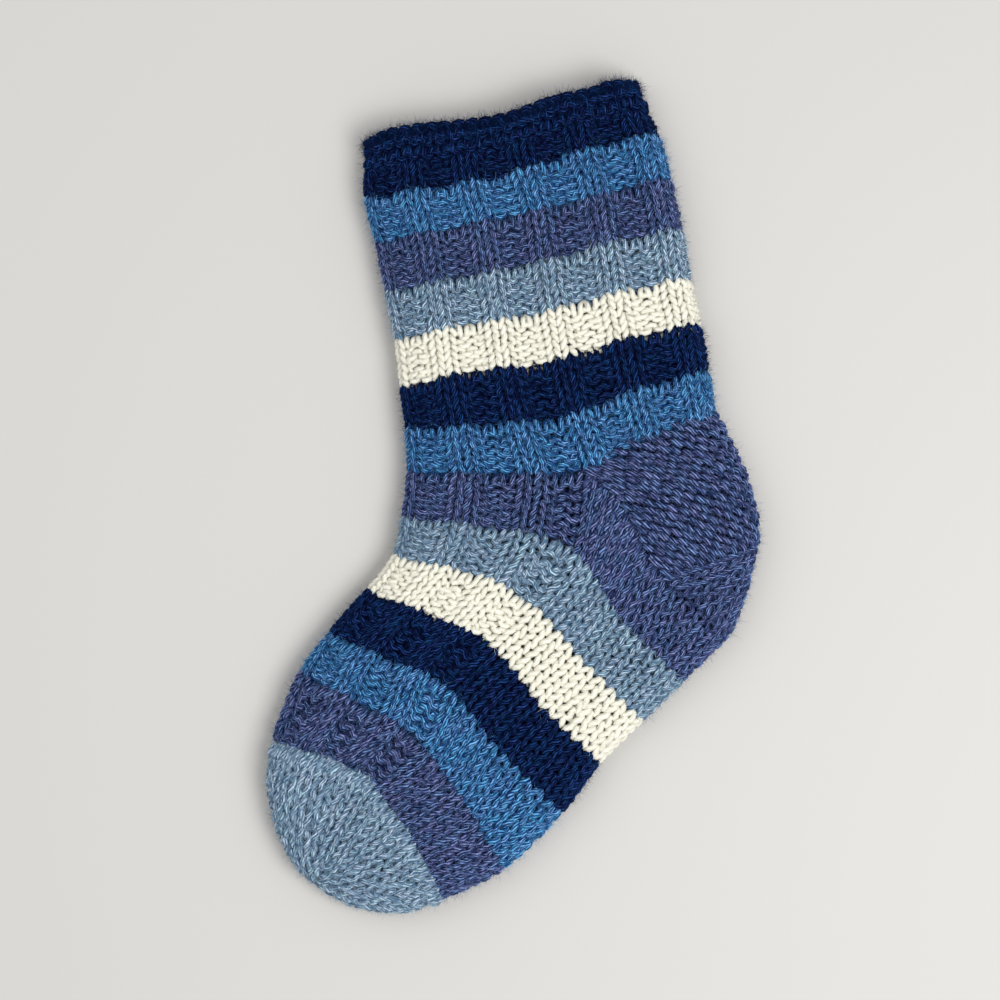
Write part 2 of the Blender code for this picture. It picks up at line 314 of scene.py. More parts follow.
def bow_of(line):
    """How far along its chord each point of a line lies, and how far off the chord, in plan."""
    plan = line[:, :2] - line[0, :2]
    chord = plan[-1]
    shares = plan @ chord / (chord @ chord)
    return shares, plan - shares[:, None] * chord


def face_line(surface, start, fold, upper, bow=None):
    """A line over one face of the sock, ending at a fold, bowed in plan if a bow is given."""
    line = []
    for share in FOLD_SHARES:
        point = start * (1 - share) + fold * share
        if bow is not None:
            point[:2] += [np.interp(share, bow[0], bow[1][:, axis]) for axis in range(2)]
        height = face_height(surface, point[0], point[1], upper)
        if share < 1 and height is not None:
            point[2] = height
        line.append(point)
    return np.array(line)


def outline(surface, first, last, centre):
    """Points down the flat sock's outline from one fold point to another, as seen from a centre."""
    angles = [math.atan2(point[1] - centre[1], point[0] - centre[0]) for point in (first, last)]
    swing = math.remainder(angles[1] - angles[0], TAU)
    folds = []
    for share in np.linspace(0, 1, FOLD_RAYS):
        middle = np.array([centre[0], centre[1], first[2] * (1 - share) + last[2] * share])
        angle = angles[0] + swing * share
        reach = 0.0
        for rise in (-PROBE, PROBE):
            for turn in (-FOLD_TURN, FOLD_TURN):
                out = np.array([math.cos(angle + turn), math.sin(angle + turn), 0.0])
                start = middle + out * 2 * FAR + np.array([0, 0, rise])
                hit = surface.ray_cast(Vector(start), Vector(-out))[0]
                if hit is not None:
                    reach = max(reach, 2 * FAR - (Vector(start) - hit).length)
        folds.append(middle + np.array([math.cos(angle), math.sin(angle), 0.0]) * reach)
    folds[0], folds[-1] = first, last
    return np.array(folds)


def shares_along(line):
    """How far along a line each of its points lies, as a share of its length."""
    lengths = step_lengths(line)
    return np.concatenate([[0.0], lengths.cumsum()]) / lengths.sum()


def along(line, share):
    """The point of a line at a share of its length."""
    return np.array([np.interp(share, shares_along(line), line[:, axis]) for axis in range(3)])


# ---------------------------------------- the fabric

class Fabric:
    """A stretch of fabric, from rings of points that each have an even step round the tube."""
    MARGIN = 4      # rows that the fabric is drawn on past its first and last ring
    FINE = 4        # finer steps in each step of the grid, which its rows are picked from
    INSIDE = 1.001  # reading stops this far inside a table's end, so that there is a next sample

    def __init__(self, rings, rows, first_turn=0.0, closed=True):
        self.closed, self.first_turn = closed, first_turn
        self.first_row = rows[0] - self.MARGIN
        fine_steps = STITCH_STEPS * self.FINE
        fine = curve_through(rings, fine_steps, closed=False)
        fine_rows = np.interp(np.arange(len(fine)) / fine_steps, np.arange(len(rows)), rows)
        count = int(round((rows[-1] - rows[0]) * STITCH_STEPS)) + 1
        wanted = rows[0] + np.arange(count) / STITCH_STEPS
        place = np.interp(wanted, fine_rows, np.arange(len(fine)))
        low = np.minimum(place.astype(int), len(fine) - 2)
        share = (place - low)[:, None, None]
        inside = fine[low] * (1 - share) + fine[low + 1] * share
        beyond = np.arange(self.MARGIN * STITCH_STEPS, 0, -1)[:, None, None]
        before = inside[:1] + (inside[:1] - inside[1:2]) * beyond
        after = inside[-1:] + (inside[-1:] - inside[-2:-1]) * beyond[::-1]
        self.grid = np.concatenate([before, inside, after])
        across = self.gradient(self.grid, 1)
        down = self.gradient(self.grid, 0)
        self.normals = unit(np.cross(down, across))
        self.pitch = np.linalg.norm(down, axis=2, keepdims=True) * STITCH_STEPS

    def gradient(self, values, axis):
        if axis == 1 and self.closed:
            return 0.5 * (np.roll(values, -1, axis=1) - np.roll(values, 1, axis=1))
        return np.gradient(values, axis=axis)

    def read(self, table, turn, row):
        """A table's value at places between its samples."""
        across = (turn - self.first_turn) * QUARTER_STEPS
        down = np.clip((row - self.first_row) * STITCH_STEPS, 0, len(table) - self.INSIDE)
        width = table.shape[1]
        if self.closed:
            across = across % width
        else:
            across = np.clip(across, 0, width - self.INSIDE)
        left, top = np.floor(across).astype(int), np.floor(down).astype(int)
        x, y = (across - left)[:, None], (down - top)[:, None]
        left = left % width
        right = (left + 1) % width
        return ((table[top, left] * (1 - x) + table[top, right] * x) * (1 - y)
                + (table[top + 1, left] * (1 - x) + table[top + 1, right] * x) * y)

    def place(self, turn, row, lift):
        """Points of the fabric's middle, moved out by lift, and the fabric's outward direction."""
        normals = unit(self.read(self.normals, turn, row))
        points = self.read(self.grid, turn, row)
        return points + normals * (lift - FABRIC_SINK)[:, None], normals

    def quarter_lengths(self, row):
        """The length of each quarter turn of a row."""
        turns = np.arange(4 * QUARTER_STEPS + 1) / QUARTER_STEPS
        ring = self.read(self.grid, turns, np.full(len(turns), float(row)))
        return step_lengths(ring).reshape(4, QUARTER_STEPS).sum(axis=1)


# ---------------------------------------- yarn

class Knit:
    """The mesh of one piece of knitting as it grows: yarns, then fuzz."""

    def __init__(self, seed):
        self.random = np.random.default_rng(seed)
        self.points, self.strands, self.crests, self.outward, self.faces = [], [], [], [], []
        self.faced = []
        self.count = 0
        self.stitches = 0

    def add(self, points, faces, strands, crests, outward):
        self.points.append(points)
        self.strands.append(strands)
        self.crests.append(crests)
        self.outward.append(outward)
        self.faces += [part + self.count for part in faces]
        self.count += len(points)

    def yarn(self, line, normals, closed, lift, plump):
        """A twisted yarn along a line lifted out of the fabric, plump times as thick as usual."""
        count, sides = len(line), PLIES * len(PLY_PROFILE)
        if closed:
            along = np.roll(line, -1, axis=0) - np.roll(line, 1, axis=0)
            steps = np.linalg.norm(np.roll(line, -1, axis=0) - line, axis=1)
        else:
            along = np.gradient(line, axis=0)
            steps = np.linalg.norm(np.diff(line, axis=0, append=line[-1:]), axis=1)
        along = unit(along)
        up = unit(normals - along * (normals * along).sum(axis=1, keepdims=True))
        side = np.cross(along, up)
        reached = np.concatenate([[0.0], steps.cumsum()[:-1]])
        turns = steps.sum() / TWIST_PITCH
        turns = max(1.0, round(turns)) if closed else turns
        twist = TAU * turns * reached / steps.sum()
        rest = TAU * np.arange(sides) / sides
        angle = twist[:, None] + rest[None, :]
        swell = 1.0 + THICK_AND_THIN * np.sin(reached / THICK_PITCH * TAU + self.random.uniform(0, TAU))
        rough = 1.0 + UNEVEN * self.random.normal(size=(count, sides))
        size = YARN_RADIUS * (swell * plump)[:, None] * np.tile(PLY_PROFILE, PLIES)[None, :] * rough
        outward = (np.cos(angle)[..., None] * up[:, None] + np.sin(angle)[..., None] * side[:, None])
        points = (line[:, None] + outward * size[..., None]).reshape(-1, 3)
        start = self.random.uniform(0, STRAND_STARTS)
        strands = np.stack(np.broadcast_arrays(
            (start + reached / MM)[:, None],
            np.cos(rest)[None, :] * YARN_RADIUS / MM,
            np.sin(rest)[None, :] * YARN_RADIUS / MM), axis=2).reshape(-1, 3)
        ring = np.arange(count if closed else count - 1)[:, None]
        here, after = ring * sides, ((ring + 1) % count) * sides
        column = np.arange(sides)[None, :]
        beside = (column + 1) % sides
        quads = np.stack([here + column, here + beside, after + beside, after + column], axis=2)
        faces = [quads.reshape(-1, 4)]
        if not closed:
            faces += [np.arange(sides)[None, ::-1], (count - 1) * sides + np.arange(sides)[None, :]]
        # Painted shade: the grooves between plies get no painted light, and a ply's crest gets less where
        # the yarn faces sideways or lies deep in the fabric.
        facing = (outward * normals[:, None]).sum(axis=2)
        low, high = DEPTH_PAINTED_SHADE
        out = ease((lift[:, None] + facing * size - low) / (high - low)).reshape(-1)
        facing = facing.reshape(-1)
        crests = (np.tile(np.arange(sides) % len(PLY_PROFILE), count) * out
                  * np.clip(FACING_PAINTED_SHADE[0] + FACING_PAINTED_SHADE[1] * facing, 0.0, 1.0))
        self.faced.append(np.flatnonzero(facing > HAIR_FACING) + self.count)
        self.add(points, faces, strands, crests, outward.reshape(-1, 3))

    def fuzz(self, density):
        """Loose fibres standing out of the yarn, each a thin closed spike with a bend in it."""
        points, outward = np.concatenate(self.points), np.concatenate(self.outward)
        strands, faced = np.concatenate(self.strands), np.concatenate(self.faced)
        left = MOST_FACES - sum(len(part) * (part.shape[1] - 2) for part in self.faces)
        hairs = min(int(self.stitches * HAIRS_PER_STITCH * density), left // HAIR_FACES)
        roots = self.random.choice(faced, hairs)
        lean = unit(self.random.normal(size=(hairs, 3)))
        heading = unit(outward[roots] + self.random.uniform(*HAIR_LEAN, hairs)[:, None] * lean)
        length = self.random.uniform(*HAIR_LENGTH, hairs)[:, None]
        bend = unit(self.random.normal(size=(hairs, 3))) * length * HAIR_BEND
        start = points[roots] - outward[roots] * HAIR_ROOT
        aside = unit(np.cross(heading, unit(self.random.normal(size=(hairs, 3)))))
        above = np.cross(heading, aside)
        # A quarter of the bend is reached halfway along.
        waist = start + heading * length * 0.5 + bend * 0.25
        corners = [start]
        for turn in TAU * np.arange(HAIR_SIDES) / HAIR_SIDES:
            corners.append(waist + (aside * math.cos(turn) + above * math.sin(turn)) * HAIR_RADIUS)
        corners.append(start + heading * length + bend)
        hair = np.stack(corners, axis=1)
        size = len(corners)
        base = np.arange(hairs)[:, None] * size
        ring = [(1 + side, 1 + (side + 1) % HAIR_SIDES) for side in range(HAIR_SIDES)]
        tris = [base + np.array([[0, other, one]]) for one, other in ring]
        tris += [base + np.array([[size - 1, one, other]]) for one, other in ring]
        self.add(hair.reshape(-1, 3), [np.concatenate(tris)],
                 np.repeat(strands[roots], size, axis=0), np.full(size * hairs, HAIR_PAINTED_LIGHT),
                 np.repeat(heading, size, axis=0))

    def piece(self, name, material, shade_level, highlight_level):
        """The knitting as one object, flattened where it lies on the floor."""
        points = np.concatenate(self.points)
        low = points[:, 2] < FLOOR_GAP
        points[low, 2] = FLOOR_GAP * np.exp(points[low, 2] / FLOOR_GAP - 1.0)
        mesh = bpy.data.meshes.new(name)
        mesh.vertices.add(len(points))
        mesh.vertices.foreach_set("co", points.ravel())
        sizes = np.concatenate([np.full(len(part), part.shape[1]) for part in self.faces])
        corners = np.concatenate([part.ravel() for part in self.faces])
        mesh.loops.add(len(corners))
        mesh.loops.foreach_set("vertex_index", corners.astype(np.int32))
        mesh.polygons.add(len(sizes))
        starts = np.concatenate([[0], sizes.cumsum()[:-1]])
        mesh.polygons.foreach_set("loop_start", starts.astype(np.int32))
        mesh.polygons.foreach_set("use_smooth", np.ones(len(sizes), bool))
        strand = mesh.attributes.new("strand", "FLOAT_VECTOR", "POINT")
        strand.data.foreach_set("vector", np.concatenate(self.strands).ravel())
        # Painted light and shade for each point: from the level given for shaded grooves up to the level
        # given for lit crests.
        crest = mesh.attributes.new("crest", "FLOAT", "POINT")
        crest.data.foreach_set("value", shade_level + (highlight_level - shade_level) * np.concatenate(self.crests))
        mesh.update(calc_edges=True)
        mesh.validate()
        mesh.materials.append(material)
        return added(name, mesh)


# ---------------------------------------- stitches

def rib_signs(counts, ribbed):
    """1 for a knit stitch and -1 for a purl one; ribbed says which quarters are ribbed."""
    signs = []
    total = sum(counts)
    for quarter, count in enumerate(counts):
        for place in range(count):
            stitch = len(signs)
            from_front = stitch if quarter < 2 else total - 1 - stitch
            knit = from_front % RIB in (0, RIB - 1) or not ribbed[quarter]
            signs.append(1.0 if knit else -1.0)
    return np.array(signs)


def along_stitches(total, segments, closed):
    """Even steps along a row: how many stitches in, which stitch that is, and the share of it done."""
    steps = np.arange(total * segments + (0 if closed else 1)) / segments
    stitch = np.minimum(steps.astype(int), total - 1)
    return steps, stitch, steps - stitch


def stitch_blend(values, stitch, share, closed, reach):
    """A per-stitch value along the yarn, changing smoothly where one stitch meets the next."""
    before = np.roll(values, 1) if closed else np.concatenate([values[:1], values[:-1]])
    after = np.roll(values, -1) if closed else np.concatenate([values[1:], values[-1:]])
    here = values[stitch]
    into = 0.5 - 0.5 * ease(share / reach)
    out = 0.5 - 0.5 * ease((1.0 - share) / reach)
    return here + (before[stitch] - here) * into + (after[stitch] - here) * out


def wanderer(random, total, stitch, share, closed):
    """A function that draws a wander of a given size, smooth along the stitches."""
    def wander(size):
        return stitch_blend(random.normal(size=total) * size, stitch, share, closed, 0.5)
    return wander


def rows_of(top, foot):
    """The rows of a band: where each one's middle is, its number, and whether it is the last."""
    here, number = top + 0.5, 0
    while here < foot:
        yield here, number, here + 1.0 > foot
        here += 1.0
        number += 1


def knit_round(knit, fabric, row, counts, signs, next_signs, relief, turns=(0.0, 1.0, 2.0, 3.0, 4.0),
               closed=True, tuck=False, plump=1.0):
    """One round of loops, drawn through the round above; tuck hides its heads under the next yarn."""
    total = int(sum(counts))
    steps, stitch, share = along_stitches(total, SEGMENTS, closed)
    wander = wanderer(knit.random, total, stitch, share, closed)
    marks = np.concatenate([[0], np.cumsum(counts)])

    # A loop's head lies behind a knit stitch of the next round, and in front of a purl one.
    at_head = np.abs(share - 0.5) < HEAD_SPAN
    sign = np.where(at_head, stitch_blend(next_signs, stitch, share, closed, SIGN_REACH),
                    stitch_blend(signs, stitch, share, closed, SIGN_REACH))
    rib = stitch_blend(relief, stitch, share, closed, RIB_REACH)
    middle = np.interp(steps, marks, turns)
    pitch = fabric.read(fabric.pitch, middle, np.full(len(steps), float(row)))[:, 0]
    reach = 0.5 * (1.0 + HOOK / pitch) * (1.0 + wander(UNEVEN_HOOK))
    lengths = fabric.quarter_lengths(row) if closed else None
    width = (np.interp(steps, marks[1:], lengths / counts) if closed
             else np.full(len(steps), SOLE_STITCH))
    open_loops = ((signs > 0) & (next_signs < 0)).astype(float)
    sway = (np.clip(SWAY_ROOM - YARN_RADIUS / width, *SWAY)
            * (1.0 - NARROWED * stitch_blend(open_loops, stitch, share, closed, SIGN_REACH)))
    across = steps + sway * np.sin(2 * TAU * share) + wander(UNEVEN_ACROSS)
    head = ease(-np.cos(TAU * share)) * tuck
    down = (row - reach * (1.0 - TUCK_SHORT * head) * np.cos(TAU * share) - RIB_SHIFT * rib
            + wander(UNEVEN_DOWN))
    lift = (-LOOP_DEPTH * sign * np.cos(2 * TAU * share) + RIB_RELIEF * rib + wander(UNEVEN_LIFT)
            - TUCK_DEPTH * head)
    if closed:
        across = across % total
    turn = np.interp(across, marks, turns)
    line, normals = fabric.place(turn, down, lift)
    knit.yarn(line, normals, closed, lift, plump * np.clip(pitch / PLUMP_PITCH, 1.0, MOST_PLUMP))
    knit.stitches += total


# ---------------------------------------- wool

# How fast each texture changes along the yarn and across it, per millimetre.
FIBRE_GRAIN = (0.66, 2.6, 2.6)
HEATHER_GRAIN = (0.12, 1.1, 1.1)
TONE_GRAIN = (0.05, 0.25, 0.25)
# What a value between the first two numbers becomes, between the last two.
FIBRE_LIGHT = (0.42, 0.60, 0.10, 1.0)
# Painted light and shade: the yarn's attribute for it becomes this much of the crest colour.
PAINTED_LIGHT_RANGE = (0.0, 0.8, 0.03, 1.0)
TONE_SHARE = (0.42, 0.58, 0.0, 1.0)
FLECK_SHARE = (0.54, 0.78, 0.0, 0.8)
FIBRE_ROUGHNESS = (0.3, 0.7, 0.95, 0.6)
WOOL_FINISH = (("Metallic", 0.0), ("Specular IOR Level", 0.05), ("Sheen Weight", 0.05),
               ("Sheen Roughness", 0.45))
BUMP_STRENGTH = 0.6
BUMP_HEIGHT = 0.15 * MM


def wool(name, dark, light, other_light, fleck):
    """Twisted wool: painted shade in the grooves between its plies and painted light on their crests, fine
    fibres along them, two tones, flecks.
    """
    material = bpy.data.materials.new(name)
    material.use_nodes = True
    nodes, links = material.node_tree.nodes, material.node_tree.links
    shader = nodes["Principled BSDF"]
    for socket, number in WOOL_FINISH:
        shader.inputs[socket].default_value = number
    shader.inputs["Sheen Tint"].default_value = (*light, 1.0)
    strand = nodes.new("ShaderNodeAttribute")
    strand.attribute_name = "strand"
    crest = nodes.new("ShaderNodeAttribute")
    crest.attribute_name = "crest"

    def noise(scale, detail):
        stretch = nodes.new("ShaderNodeVectorMath")
        stretch.operation = "MULTIPLY"
        links.new(strand.outputs["Vector"], stretch.inputs[0])
        stretch.inputs[1].default_value = scale
        texture = nodes.new("ShaderNodeTexNoise")
        links.new(stretch.outputs[0], texture.inputs["Vector"])
        texture.inputs["Scale"].default_value = 1.0
        texture.inputs["Detail"].default_value = detail
        return texture.outputs["Fac"]

    def mixed(factor, first, second):
        mix = nodes.new("ShaderNodeMix")
        mix.data_type = "RGBA"
        links.new(factor, mix.inputs["Factor"])
        for place, value in ((6, first), (7, second)):
            if isinstance(value, tuple):
                mix.inputs[place].default_value = (*value, 1.0)
            else:
                links.new(value, mix.inputs[place])
        return mix.outputs[2]

    def ranged(value, numbers):
        limits = nodes.new("ShaderNodeMapRange")
        links.new(value, limits.inputs["Value"])
        for socket, number in zip(("From Min", "From Max", "To Min", "To Max"), numbers):
            limits.inputs[socket].default_value = number
        return limits.outputs["Result"]

    fibres = noise(FIBRE_GRAIN, 2.0)
    heather = noise(HEATHER_GRAIN, 3.0)
    tone = noise(TONE_GRAIN, 1.0)
    # Painted light and shade: fibres times the painted light attribute mix the groove colour towards the
    # crest colour.
    lit = nodes.new("ShaderNodeMath")
    lit.operation = "MULTIPLY"
    links.new(ranged(fibres, FIBRE_LIGHT), lit.inputs[0])
    links.new(ranged(crest.outputs["Fac"], PAINTED_LIGHT_RANGE), lit.inputs[1])
    base = mixed(lit.outputs[0], dark, mixed(ranged(tone, TONE_SHARE), light, other_light))
    colour = mixed(ranged(heather, FLECK_SHARE), base, fleck)
    links.new(colour, shader.inputs["Base Color"])
    links.new(ranged(fibres, FIBRE_ROUGHNESS), shader.inputs["Roughness"])
    bump = nodes.new("ShaderNodeBump")
    bump.inputs["Strength"].default_value = BUMP_STRENGTH
    bump.inputs["Distance"].default_value = BUMP_HEIGHT
    links.new(fibres, bump.inputs["Height"])
    links.new(bump.outputs["Normal"], shader.inputs["Normal"])
    return material


# Each wool's colour where it gets painted shade, in the yarn's grooves and between light fibres; on its
# crests, where it gets painted light; on the crests of the stretches that were dyed another tone; and in
# its flecks.
WOOL_COLOURS = {
    "navy_wool": ((0.000, 0.000, 0.012), (0.019, 0.056, 0.235), (0.010, 0.062, 0.225),
                  (0.002, 0.030, 0.080)),
    "blue_wool": ((0.000, 0.014, 0.090), (0.220, 0.510, 0.920), (0.160, 0.530, 0.900),
                  (0.020, 0.170, 0.330)),
    "denim_wool": ((0.000, 0.005, 0.036), (0.245, 0.290, 0.570), (0.200, 0.320, 0.610),
                   (0.052, 0.066, 0.200)),
    "light_wool": ((0.032, 0.084, 0.155), (0.720, 0.840, 0.960), (0.650, 0.860, 0.940),
                   (0.180, 0.270, 0.400)),
    "cream_wool": ((0.640, 0.620, 0.520), (0.890, 0.875, 0.785), (0.850, 0.820, 0.725),
                   (0.800, 0.760, 0.660)),
}
WOOLS = {slot: wool(slot + "_yarn", *colours) for slot, colours in WOOL_COLOURS.items()}


# ---------------------------------------- the pieces

LEG_NODES = ("cuff_band", "leg_band_blue", "leg_band_denim", "leg_band_light", "leg_band_cream",
             "leg_band_navy", "ankle_band_blue")
FOOT_NODES = ("gusset_band", "foot_band_light", "foot_band_cream", "foot_band_navy",
              "foot_band_blue", "foot_band_denim")
CUFF_ROWS = 8
CUFF_GARTER_ROWS = 4
GARTER_PLUMP = 1.20     # thicker yarn there, so that the daylight in the mouth doesn't show through
GARTER_RELIEF = 0.3     # share of the ribs' relief that those rows have
STRIPE_ROWS = 6
GUSSET_ROWS = 7
TOE_ROWS = 13
TOE_PLUMP = 1.07
TOE_START_PLUMP = 1.15  # its first round fills the gaps under the last round of ribs
FLAP_ROWS = 22
TURN_ROWS = 10

yarn_of = {node: slot for slot, nodes in (
    ("navy_wool", ("cast_on_edge", "cuff_band", "leg_band_navy", "foot_band_navy")),
    ("blue_wool", ("leg_band_blue", "ankle_band_blue", "foot_band_blue")),
    ("denim_wool", ("leg_band_denim", "heel_flap", "heel_turn", "gusset_band", "foot_band_denim")),
    ("light_wool", ("leg_band_light", "foot_band_light", "toe_cap")),
    ("cream_wool", ("leg_band_cream", "foot_band_cream"))) for node in nodes}

# How many hairs the hairier and the smoother pieces have, as a share of the others'.
FUZZ = {"cast_on_edge": 8.0, "leg_band_cream": 0.18, "foot_band_cream": 0.18}

# The painted light's level in the yarn's grooves and on its crests, where that isn't 0 and 1. Below 0,
# only the highest crests get a painted highlight, as on the navy yarn; the foot's pale yarn is more even
# in painted shade and highlight.
PAINTED_LIGHT_LEVELS = {"cast_on_edge": (-0.28, 0.95), "cuff_band": (-0.28, 0.95), "leg_band_navy": (-0.22, 1.15),
             "foot_band_navy": (-0.22, 1.15), "foot_band_light": (0.06, 0.76), "toe_cap": (0.10, 0.70)}

pieces = {}


def add_piece(node, knit):
    """The finished knitting, in place of its CAD node."""
    slot = yarn_of[node]
    knit.fuzz(FUZZ.get(node, 1.0))
    piece = knit.piece(node + "_knitting", WOOLS[slot], *PAINTED_LIGHT_LEVELS.get(node, (0.0, 1.0)))
    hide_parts(node)
    pieces[node] = piece


# The mouth's corners stand up: how far at each fold, and over what share of a quarter turn.
CORNERS = ((0.0, 3.4 * MM, 0.62), (2.0, 4.5 * MM, 0.52), (4.0, 3.4 * MM, 0.62))
CORNER_EASE = 0.45


def square_corners(mouth, below):
    """The mouth's rim with its corners drawn up, away from the rim below it."""
    turns = np.arange(len(mouth)) / QUARTER_STEPS
    rise = sum(height * ease((width - np.abs(turns - fold)) / CORNER_EASE)
               for fold, height, width in CORNERS)
    return mouth + unit(mouth - below) * rise[:, None]


def leg_fabric():
    """The leg's fabric, from the mouth to the ankle, and the rows at which its bands meet."""
    edge = node_points("cast_on_edge").mean(0)
    rims = [even_ring(rim) for rim in rims_along(LEG_NODES, edge)]
    rims[0] = square_corners(rims[0], rims[1])
    rows = [0, CUFF_ROWS + 0.5]
    for _ in LEG_NODES[1:]:
        rows.append(rows[-1] + STRIPE_ROWS)
    return Fabric(rims, rows), rows


def knit_leg(fabric, rows):
    """Ribbed bands, the first of which starts with purled ridges."""
    ribs = rib_signs(WHOLE_ROUND, (True,) * 4)
    plain = np.ones(len(ribs))
    for place, node in enumerate(LEG_NODES):
        knit = Knit(seed=10 + place)
        for here, number, last in rows_of(*rows[place:place + 2]):
            garter = node == "cuff_band" and number < CUFF_GARTER_ROWS
            if garter:
                signs, next_signs = plain * (-1) ** number, plain * (-1) ** (number + 1)
            else:
                signs = plain if number == 0 else ribs
                next_signs = plain if last else ribs
            knit_round(knit, fabric, here, WHOLE_ROUND, signs, next_signs,
                       GARTER_RELIEF * ribs if garter else ribs, tuck=last,
                       plump=GARTER_PLUMP if garter else 1.0)
        add_piece(node, knit)
    knit_cast_on(fabric)


EDGE_LOOPS_ROW = -0.36  # where the edge's loops lie, in rows past the mouth
EDGE_ROW = -0.95        # and the strand that binds them
EDGE_COIL = 0.9 * MM
EDGE_SINK = 0.2 * MM
# How unevenly the strand winds: along the sock, out of the fabric, round its coil and in its width.
EDGE_WANDER = (0.22, 0.25 * MM, 0.6, 0.12 * MM)


def knit_cast_on(fabric):
    """The cast-on edge: a round of purled loops and the strand that winds through their tops."""
    knit = Knit(seed=5)
    stitches = sum(WHOLE_ROUND)
    purl = -np.ones(stitches)
    knit_round(knit, fabric, EDGE_LOOPS_ROW, WHOLE_ROUND, purl, purl, 0.0 * purl,
               plump=GARTER_PLUMP)
    steps, stitch, share = along_stitches(stitches, SEGMENTS, True)
    wander = wanderer(knit.random, stitches, stitch, share, True)
    down, out, round_coil, width = EDGE_WANDER
    rows = EDGE_ROW + wander(down)
    centre, normals = fabric.place(steps / LEG_QUARTER, rows, wander(out) - EDGE_SINK)
    up = unit(fabric.read(fabric.gradient(fabric.grid, 0), steps / LEG_QUARTER, rows))
    angle = TAU * steps + wander(round_coil)
    coil = (EDGE_COIL + wander(width))[:, None]
    line = centre + coil * (np.cos(angle)[:, None] * normals + np.sin(angle)[:, None] * up)
    knit.yarn(line, normals, True, coil[:, 0] * np.cos(angle), np.ones(len(line)))
    add_piece("cast_on_edge", knit)


def counted(lengths, stitch):
    """The number of stitches in each quarter of a round, from its length."""
    return tuple(max(1, int(round(length / stitch))) for length in lengths)


TOE_SHARES = (0.12, 0.24, 0.36, 0.48, 0.6, 0.72, 0.84, 0.93, 0.98)


def toe_rings(rim, surface):
    """Rings from the toe's first rim to its tip, each from fold to fold, bowed less and less."""
    front, side, back, under = (rim[place * QUARTER_STEPS] for place in range(4))
    chord = back - front
    forward = unit(np.array([chord[1], -chord[0], 0.0]))
    points = node_points("toe_cap")
    tip = points[(points @ forward).argmax()]
    centre = 0.5 * (front + back)
    front_folds = outline(surface, front, tip, centre)
    back_folds = outline(surface, back, tip, centre)
    loop = np.concatenate([rim, rim[:1]])
    quarters = [loop[place * QUARTER_STEPS:(place + 1) * QUARTER_STEPS + 1] for place in range(4)]
    rings = []
    for share in TOE_SHARES:
        front_fold, back_fold = along(front_folds, share), along(back_folds, share)
        ring = []
        for place, (middle, fold, inward) in enumerate((
                (side, front_fold, True), (side, back_fold, False),
                (under, back_fold, True), (under, front_fold, False))):
            offs, bows = bow_of(quarters[place][::-1] if inward else quarters[place])
            line = face_line(surface, middle * (1 - share) + tip * share, fold, place < 2,
                             (offs, bows * (1 - share)))
            ring.append(evenly(line[::-1] if inward else line, QUARTER_STEPS))
        rings.append(np.concatenate(ring))
    return rings


def foot_fabric():
    """The fabric of the foot and the toe, the rows at which bands meet, and the toe's first row."""
    low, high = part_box("ankle_band_blue")
    rims = rims_along(FOOT_NODES, np.array((low + high) / 2))
    rings = [even_ring(rim) for rim in rims]
    toe = toe_rings(rings[-1], cad_surface("toe_cap", "foot_band_denim"))
    rows = [0, GUSSET_ROWS]
    for _ in FOOT_NODES[1:]:
        rows.append(rows[-1] + STRIPE_ROWS)
    toe_start = rows[-1]
    rows += [toe_start + TOE_ROWS * share / TOE_SHARES[-1] for share in TOE_SHARES]
    return Fabric(rings + toe, rows), rows, toe_start


def knit_foot(fabric, rows):
    """Bands ribbed on the instep and plain on the sole; the gusset has its own number of stitches."""
    for place, node in enumerate(FOOT_NODES):
        knit = Knit(seed=40 + place)
        for here, number, last in rows_of(*rows[place:place + 2]):
            counts = WHOLE_ROUND
            if node == "gusset_band":
                _, *sole, _ = counted(fabric.quarter_lengths(here), SOLE_STITCH)
                counts = (LEG_QUARTER, *sole, LEG_QUARTER)
            ribs = rib_signs(counts, (True, False, False, True))
            plain = np.ones(len(ribs))
            relief = ribs.copy()
            relief[LEG_QUARTER:-LEG_QUARTER] = 0.0
            knit_round(knit, fabric, here, counts, plain if number == 0 else ribs,
                       plain if last else ribs, relief, tuck=last)
        add_piece(node, knit)


def knit_toe(fabric, start):
    """Plain rounds with fewer and fewer stitches; the first has as many as the foot."""
    knit = Knit(seed=60)
    for here, number, _ in rows_of(start, start + TOE_ROWS):
        counts = WHOLE_ROUND
        if number > 0:
            counts = counted(fabric.quarter_lengths(here), TOE_STITCH)
        plain = np.ones(sum(counts))
        knit_round(knit, fabric, here, counts, plain, plain, plain * 0.0,
                   plump=TOE_PLUMP if number > 0 else TOE_START_PLUMP)
    add_piece("toe_cap", knit)


# ---------------------------------------- the heel

FLAP_STITCHES = 10      # from the side line to the back fold
DASH_SHIFT = 0.37       # stitches by which each row of dashes lies further from the back fold
DASH_TILT = 0.56        # rows by which a flap stitch falls as it crosses
DASH_DEPTH = 1.40 * MM
DASH_PLUMP = 1.06
DASH_SWELL = 0.14       # how much thicker the yarn is in a dash's middle, and thinner at its ends
DASH_SEGMENTS = 9
DASH_WANDER = (0.12, 0.22 * MM, 0.06)   # how uneven the dashes are: down, out and to the side
HEEL_RINGS = 8          # that the flap is drawn through, and the turn
FLAP_SPAN = (-0.3, 21.6)    # where the flap's first and last rows lie, in rows below the ankle band


def heel_row(surface, top, fold, under):
    """Even points from a place on the upper face, round the back fold, to one on the under face."""
    first = face_line(surface, top, fold, True)
    second = face_line(surface, under, fold, False)[::-1]
    return np.concatenate([evenly(first, QUARTER_STEPS), evenly(second, QUARTER_STEPS), under[None]])


def share_at_height(line, y):
    """How far along a line that runs down the sock it passes a given y."""
    return float(np.interp(-y, -line[:, 1], shares_along(line)))


